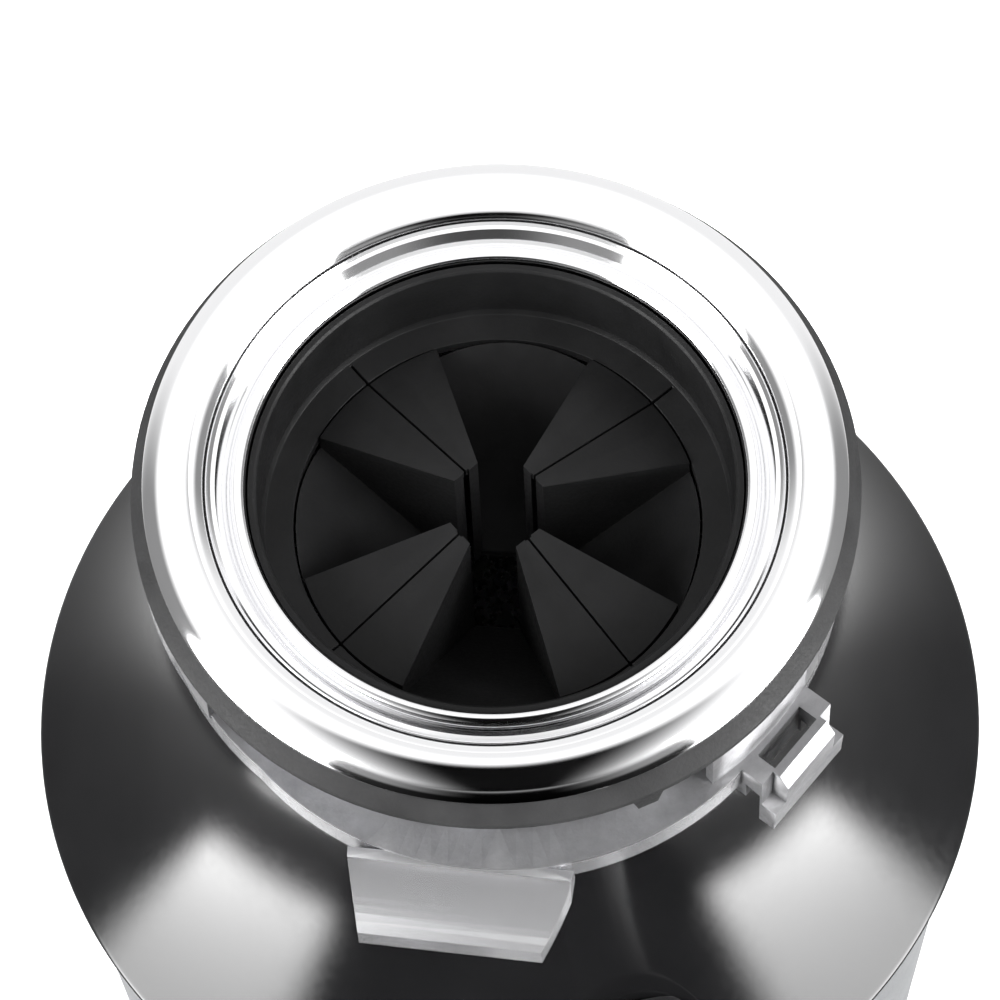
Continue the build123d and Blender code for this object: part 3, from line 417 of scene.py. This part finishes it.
def grained(name, colour, tone, roughness, spread, cloud_scale=30.0, grain_scale=1500.0, depth=0.00005,
            worn=0.0, worn_colour=(0.7, 0.7, 0.7, 1), marks=0.0, **surface):
    """A finish with tone, pits and uneven gloss, with rubbed corners and turning marks if asked for."""
    material, tree, shader = new_material(name, **surface)
    grain = placed(tree, grain_group, Colour=(*colour, 1), Tone=(*tone, 1), Cloud_Scale=cloud_scale,
                   Grain_Scale=grain_scale, Roughness=roughness, Spread=spread)
    shade = grain["Colour"]
    if worn:
        shade = mix_colour(tree, placed(tree, wear_group, Amount=worn)["Mask"], shade, worn_colour)
    tree.links.new(shade, shader.inputs["Base Color"])
    tree.links.new(grain["Roughness"], shader.inputs["Roughness"])
    height = grain["Height"]
    if marks:
        height = placed(tree, turning_group, Rings=marks)["Height"]
    bump(tree, shader, height, depth)
    return material


def eased(name, node_name, width, segments=2, angle=30):
    """A copy of a CAD node with its corners eased by a small bevel, as a tumbled or moulded piece has."""
    bm = bmesh.new()
    bm.from_mesh(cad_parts[node_name].data)
    piece = finished(name, bm, angle)
    corners = piece.modifiers.new("eased_corners", "BEVEL")
    corners.width = width * MM
    corners.segments = segments
    corners.limit_method = "ANGLE"
    corners.angle_limit = radians(angle)
    corners.harden_normals = True
    return piece


gasket = eased("rim_gasket_rubber", "rim_gasket", 0.35)
gasket_rubber = grained("gasket_rubber", (0.010, 0.010, 0.0102), (0.017, 0.017, 0.0173), 0.6, 0.14, 70.0, 1800.0,
                        0.00005, worn=0.4, worn_colour=(0.035, 0.035, 0.035, 1), Specular_IOR_Level=0.1)
dress(gasket, gasket_rubber, "housing", "flange_rubber", "rim_gasket")

# ---- backup flange, mounting ring and their screws ------------------------------------------
# A zinc-plated steel washer, and the die-cast ring that hangs on the sleeve's snap ring. Three
# slotted screws in the ring jack the washer up against the gasket.
zinc_plate = grained("zinc_plate", (0.60, 0.61, 0.64), (0.50, 0.52, 0.55), 0.34, 0.14, 90.0, 900.0, 0.00002,
                     worn=0.5, worn_colour=(0.82, 0.82, 0.84, 1), Metallic=1.0)
blasted_casting = grained("blasted_casting", (0.60, 0.60, 0.61), (0.50, 0.50, 0.51), 0.5, 0.14, 120.0, 1300.0,
                          0.00005, worn=0.5, worn_colour=(0.80, 0.80, 0.81, 1), Metallic=1.0)
oiled_spring_steel = grained("oiled_spring_steel", (0.20, 0.20, 0.21), (0.14, 0.14, 0.15), 0.36, 0.12, 160.0, 1600.0,
                             0.00002, worn=0.4, worn_colour=(0.5, 0.5, 0.52, 1), Metallic=1.0)
for piece_name, node_name, width, material, slot in (
        ("plated_backup_flange", "backup_flange", 0.25, zinc_plate, "zinc_steel"),
        ("cast_mounting_ring", "mounting_ring", 0.35, blasted_casting, "cast_ring"),
        ("slotted_mounting_screws", "mounting_screws", 0.25, zinc_plate, "zinc_steel"),
        ("split_snap_ring", "snap_ring", 0.4, oiled_spring_steel, "spring_steel")):
    dress(eased(piece_name, node_name, width), material, "housing", slot, node_name)

# ---- swivel ring ----------------------------------------------------------------------------
# One casting with a matte blasted top, a bright turned rim, three bayonet hooks, a flared hand
# tab in front, and a rough cast ear beside each of two hooks for the wrench.
RIM_START, RIM_FULL = 0.0552, 0.0566      # radius over which the bright rim takes over
EAR_CENTRES = ((-42.0, 0.0612), (78.0, 0.0612))
EAR_REACH = 0.0125
EAR_HEIGHT = -0.027
PLATE_EDGE, EDGE_BLEND = -0.020, 0.0002   # where the matte plate meets the bright rim
swivel_ring = eased("swivel_ring", "lock_ring", 0.3, 2, 28)
ring_metal, tree, shader = new_material("swivel_ring_metal", Metallic=0.85)
ring_place, ring_parts, ring_radius = object_place(tree)
ear_mask = None
for azimuth, radius in EAR_CENTRES:
    span = node(tree, "ShaderNodeVectorMath", operation="DISTANCE")
    tree.links.new(ring_place, span.inputs[0])
    span.inputs[1].default_value = (radius * cos(radians(azimuth)), radius * sin(radians(azimuth)), EAR_HEIGHT)
    near_ear = remap(tree, span.outputs["Value"], EAR_REACH - 0.0015, EAR_REACH, 1.0, 0.0)
    ear_mask = near_ear if ear_mask is None else chain(tree, ear_mask, "MAXIMUM", near_ear)
outside = remap(tree, ring_radius, RIM_START, RIM_FULL)
below_top = remap(tree, ring_parts["Z"], PLATE_EDGE - EDGE_BLEND, PLATE_EDGE + EDGE_BLEND, 1.0, 0.0)
bright = chain(tree, chain(tree, outside, "MULTIPLY", below_top), "SUBTRACT", ear_mask, True)
matte_grain = placed(tree, grain_group, Colour=(0.22, 0.22, 0.225, 1), Tone=(0.16, 0.16, 0.165, 1), Cloud_Scale=150.0,
                     Grain_Scale=1500.0, Roughness=0.46, Spread=0.08)
bright_grain = placed(tree, grain_group, Colour=(0.50, 0.50, 0.51, 1), Tone=(0.44, 0.44, 0.45, 1), Cloud_Scale=60.0,
                      Grain_Scale=2200.0, Roughness=0.24, Spread=0.03)
tree.links.new(mix_colour(tree, bright, matte_grain["Colour"], bright_grain["Colour"]), shader.inputs["Base Color"])
rough_part = chain(tree, matte_grain["Roughness"], "MULTIPLY", remap(tree, bright, 0.0, 1.0, 1.0, 0.0))
tree.links.new(chain(tree, rough_part, "ADD", chain(tree, bright_grain["Roughness"], "MULTIPLY", bright)),
               shader.inputs["Roughness"])
pit_share = remap(tree, bright, 0.0, 1.0, 1.0, 0.04)
bump(tree, shader, chain(tree, matte_grain["Height"], "MULTIPLY", pit_share), 0.00005, 0.9)
dress(swivel_ring, ring_metal, "lock_ring", "cast_ring", "lock_ring")

# ---- splash guard and cushion mount ---------------------------------------------------------
# Black nitrile mouldings. The guard is a collar dropped into the throat, whose shelf carries
# four petals that part at the slits; the cushion mount under it takes up the motor's shake.
guard_rubber = grained("guard_rubber", (0.0042, 0.0042, 0.0043), (0.0065, 0.0065, 0.0067), 0.46, 0.12, 60.0, 1400.0,
                       0.00003, Specular_IOR_Level=0.1)
dress(eased("guard_collar", "splash_guard", 0.12), guard_rubber, "splash_guard", "guard_rubber", "splash_guard")
for number in range(1, 5):
    leaf_name = f"guard_leaf_{number}"
    dress(eased(f"guard_petal_{number}", leaf_name, 0.35, 3, 25), guard_rubber, leaf_name, "guard_rubber", leaf_name)
dress(eased("cushion_ring", "cushion_mount", 0.4), guard_rubber, "housing", "guard_rubber", "cushion_mount")

# ---- grind chamber, turntable and their fixings ---------------------------------------------
# The deep-drawn stainless hopper that the scraps fall into, closed below by the spinning
# stainless turntable. Both keep the fine rings of their drawing and turning.


def coat(material, *names):
    """Gives CAD nodes, whose shapes stay as they are, a finish."""
    for name in names:
        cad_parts[name].material_slots[0].material = material


drawn_stainless = grained("drawn_stainless", (0.62, 0.62, 0.63), (0.54, 0.54, 0.56), 0.26, 0.10, 40.0, 900.0,
                          0.000006, marks=1400.0, Metallic=1.0)
coat(drawn_stainless, "grind_chamber", "turntable")

# ---- bell cover -----------------------------------------------------------------------------
# A deep-drawn steel bell with a stoved black enamel, flared from the neck to a rolled rim. A
# foam liner behind its neck keeps it from ringing.
BELL_STEPS = 28
outer_flare = [(p.x, p.y) for p in interpolate_bezier(
    Vector((55.0, -31.6)), Vector((55.0, -53.6)), Vector((65.2, -80.0)), Vector((81.8, -95.9)), BELL_STEPS)]
inner_flare = [(p.x, p.y) for p in interpolate_bezier(
    Vector((80.4, -98.5)), Vector((63.6, -81.2)), Vector((53.2, -53.6)), Vector((53.2, -31.6)), BELL_STEPS)]
bell = turned("enamelled_bell", (
    arc((52.4, -28.4), (54.4, -29.4), (55.0, -31.6), 8)
    + outer_flare[1:]
    + arc((81.8, -95.9), (82.5, -97.1), (82.2, -98.5), 8)[1:]
    + inner_flare
    + [(52.4, -30.2), (47.4, -30.2), (47.4, -28.4)]), steps=256)
enamel, tree, shader = new_material("stoved_black_enamel", Specular_IOR_Level=0.22)
enamel_grain = placed(tree, grain_group, Colour=(0.003, 0.003, 0.0032, 1), Tone=(0.005, 0.005, 0.0053, 1),
                      Cloud_Scale=18.0, Grain_Scale=700.0, Roughness=0.15, Spread=0.03)
enamel_smears = placed(tree, smear_group, Roughness=enamel_grain["Roughness"], Amount=0.05)
tree.links.new(enamel_grain["Colour"], shader.inputs["Base Color"])
tree.links.new(enamel_smears["Roughness"], shader.inputs["Roughness"])
bump(tree, shader, enamel_grain["Height"], 0.00002, 0.25)
dress(bell, enamel, "housing", "gloss_black_enamel", "bell_cover")
sound_foam = grained("sound_foam", (0.075, 0.075, 0.08), (0.04, 0.04, 0.045), 0.95, 0.08, 300.0, 900.0, 0.0003)
coat(sound_foam, "neck_liner", "sound_jacket")

# ---- dishwasher inlet -----------------------------------------------------------------------
# A moulded nylon nipple that comes through the bell, with its drain side still closed by the
# thin plug that is knocked out when a dishwasher is fitted.
black_nylon = grained("black_nylon", (0.009, 0.009, 0.0095), (0.014, 0.014, 0.0148), 0.42, 0.12, 50.0, 2200.0,
                      0.00004, worn=0.35, worn_colour=(0.05, 0.05, 0.052, 1), Specular_IOR_Level=0.2)
dress(eased("nylon_drain_nipple", "dishwasher_inlet", 0.3), black_nylon, "housing", "black_plastic",
      "dishwasher_inlet")
coat(black_nylon, "knockout_plug")

# ---- lower shell ----------------------------------------------------------------------------
# The satin metallic side wall, rolled from painted sheet, tucked up inside the bell's rim on a
# rubber seal, with a slot in front for the discharge.
satin_paint = grained("satin_metallic_paint", (0.20, 0.205, 0.21), (0.17, 0.175, 0.18), 0.4, 0.08, 26.0, 2400.0,
                      0.00002, worn=0.45, worn_colour=(0.42, 0.42, 0.43, 1), Metallic=0.6)
dress(eased("painted_lower_shell", "lower_shell", 0.4), satin_paint, "housing", "satin_shell", "lower_shell")
coat(gasket_rubber, "shell_seal", "chamber_seal", "shaft_seal")

# ---- upper end bell and discharge -----------------------------------------------------------
# The sand-blasted aluminium casting that catches the ground waste and lets it out in front,
# through a rubber gasket, a black elbow and the plated plate whose two bolts clamp them.
sanded_aluminium = grained("sand_blasted_aluminium", (0.52, 0.53, 0.54), (0.42, 0.43, 0.44), 0.55, 0.16, 80.0, 1100.0,
                           0.00009, worn=0.5, worn_colour=(0.74, 0.74, 0.75, 1), Metallic=1.0)
for piece_name, node_name, width, material, slot in (
        ("cast_end_bell", "upper_end_bell", 0.5, sanded_aluminium, "cast_aluminium"),
        ("outlet_gasket", "tailpipe_gasket", 0.3, gasket_rubber, "flange_rubber"),
        ("moulded_discharge_elbow", "discharge_elbow", 0.4, black_nylon, "black_plastic"),
        ("plated_outlet_clamp", "tailpipe_flange", 0.35, zinc_plate, "zinc_steel"),
        ("outlet_hexagon_bolts", "flange_bolts", 0.25, zinc_plate, "zinc_steel"),
        ("chamber_hexagon_bolts", "chamber_bolts", 0.25, zinc_plate, "zinc_steel")):
    dress(eased(piece_name, node_name, width), material, "housing", slot, node_name)

# ---- grinding gear --------------------------------------------------------------------------
# Hardened iron: the toothed shredder ring pressed into the chamber, and two lugs that swing on
# shouldered pins in the turntable, which a hexagon nut holds on the shaft's stud.
hard_iron = grained("hardened_iron", (0.20, 0.20, 0.21), (0.13, 0.13, 0.135), 0.42, 0.16, 110.0, 1000.0, 0.00006,
                    worn=0.7, worn_colour=(0.55, 0.55, 0.56, 1), Metallic=1.0)
ground_steel = grained("ground_steel", (0.54, 0.55, 0.57), (0.47, 0.48, 0.50), 0.24, 0.08, 60.0, 1500.0, 0.000006,
                       marks=2600.0, worn=0.4, worn_colour=(0.85, 0.85, 0.86, 1), Metallic=1.0)
dress(eased("toothed_shredder_ring", "shredder_ring", 0.3), hard_iron, "housing", "hard_iron", "shredder_ring")
for number in (1, 2):
    lug_name = f"grinding_lug_{number}"
    dress(eased(f"swinging_lug_{number}", lug_name, 0.6, 3), hard_iron, lug_name, "hard_iron", lug_name)
coat(ground_steel, "lug_pins", "motor_shaft")
dress(eased("turntable_hexagon_nut", "turntable_nut", 0.35), ground_steel, "rotor", "bright_steel", "turntable_nut")

# ---- motor ----------------------------------------------------------------------------------
# An induction motor in a primed steel can: stacked laminations, coils of enamelled copper wire,
# a cage rotor with cast end rings, and oil-soaked bronze bearings for the ground shaft.
primed_can = grained("primed_can_steel", (0.15, 0.16, 0.17), (0.11, 0.115, 0.12), 0.5, 0.12, 34.0, 1600.0, 0.00003,
                     worn=0.5, worn_colour=(0.42, 0.42, 0.43, 1), Metallic=0.4)
oiled_bronze = grained("oiled_bronze", (0.48, 0.30, 0.13), (0.36, 0.22, 0.09), 0.36, 0.12, 120.0, 1500.0, 0.00002,
                       Metallic=1.0)
coat(primed_can, "motor_can")
coat(oiled_bronze, "upper_bearing", "lower_bearing")
coat(sanded_aluminium, "rotor_end_rings", "lower_end_frame")


def layered(name, colour, tone, pitch, depth, roughness, **surface):
    """A finish with level layers, such as stacked sheets or wound wire, a pitch apart, darker in the low grooves
    between them: the dark joints of stacked sheets, and painted shade between wound turns.
    """
    material, tree, shader = new_material(name, **surface)
    _, parts, _ = object_place(tree)
    turns = chain(tree, chain(tree, parts["Z"], "MULTIPLY", 2 * pi / pitch), "SINE")
    share = remap(tree, turns, -0.9, 0.6)
    grain = placed(tree, grain_group, Colour=(*colour, 1), Tone=(*tone, 1), Cloud_Scale=90.0, Grain_Scale=1200.0,
                   Roughness=roughness, Spread=0.1)
    # Partly painted shade: the colour falls to a third in the low grooves. On stacked sheets this is their dark joint;
    # between wound turns it is painted shade.
    dark = mix_colour(tree, share, (colour[0] * 0.35, colour[1] * 0.35, colour[2] * 0.35, 1), grain["Colour"])
    tree.links.new(dark, shader.inputs["Base Color"])
    tree.links.new(grain["Roughness"], shader.inputs["Roughness"])
    bump(tree, shader, share, depth, 0.8)
    return material


coat(layered("stacked_laminations", (0.20, 0.20, 0.21), (0.13, 0.12, 0.12), 0.0013, 0.0002, 0.45, Metallic=0.8),
     "stator_core", "rotor_core")
coat(layered("enamelled_copper_coils", (0.50, 0.19, 0.07), (0.36, 0.12, 0.04), 0.0011, 0.0003, 0.26, Metallic=0.9,
             Coat_Weight=0.4), "upper_winding", "lower_winding")

# ---- starting gear and wiring ---------------------------------------------------------------
# A grey thermoset governor on the shaft throws the start switch, which drops the capacitor out
# once the motor is up to speed. The slinger above keeps drips off the shaft's seal.
grey_thermoset = grained("grey_thermoset", (0.30, 0.31, 0.32), (0.25, 0.26, 0.27), 0.5, 0.1, 60.0, 2000.0, 0.00003,
                         worn=0.3, worn_colour=(0.48, 0.48, 0.49, 1))
capacitor_skin = grained("capacitor_skin", (0.045, 0.055, 0.08), (0.035, 0.042, 0.06), 0.24, 0.08, 40.0, 1500.0,
                         0.00001)
wire_skin = grained("wire_skin", (0.045, 0.045, 0.047), (0.06, 0.06, 0.062), 0.36, 0.1, 90.0, 1800.0, 0.00002)
green_passivate = grained("green_passivate", (0.035, 0.23, 0.06), (0.02, 0.16, 0.04), 0.34, 0.12, 150.0, 1500.0,
                          0.00002, worn=0.5, worn_colour=(0.5, 0.55, 0.5, 1), Metallic=0.6)
coat(grey_thermoset, "water_slinger", "governor", "start_switch", "overload_protector")
coat(capacitor_skin, "start_capacitor")
coat(wire_skin, "lead_wires")
dress(eased("green_ground_screw", "ground_screw", 0.25), green_passivate, "housing", "ground_green", "ground_screw")
dress(eased("motor_through_bolts", "through_bolts", 0.25), zinc_plate, "housing", "zinc_steel", "through_bolts")

# ---- base -----------------------------------------------------------------------------------
# A black moulded cup closes the motor's underside, on three cross-head screws. It has the red
# reset button, the cord's bushing and, in the middle, the socket for the jam wrench.
red_button = grained("red_button", (0.50, 0.022, 0.018), (0.42, 0.018, 0.015), 0.26, 0.06, 60.0, 1800.0, 0.00001)
for piece_name, node_name, width, material, body, slot in (
        ("moulded_base_cup", "base_cover", 0.6, black_nylon, "housing", "black_plastic"),
        ("base_cross_screws", "base_screws", 0.3, zinc_plate, "housing", "zinc_steel"),
        ("cord_entry_bushing", "cord_bushing", 0.8, grey_thermoset, "housing", "grey_plastic"),
        ("jam_wrench_socket", "wrench_hub", 0.3, ground_steel, "rotor", "bright_steel"),
        ("red_reset_button", "reset_button", 0.4, red_button, "reset_button", "red_plastic")):
    dress(eased(piece_name, node_name, width), material, body, slot, node_name)
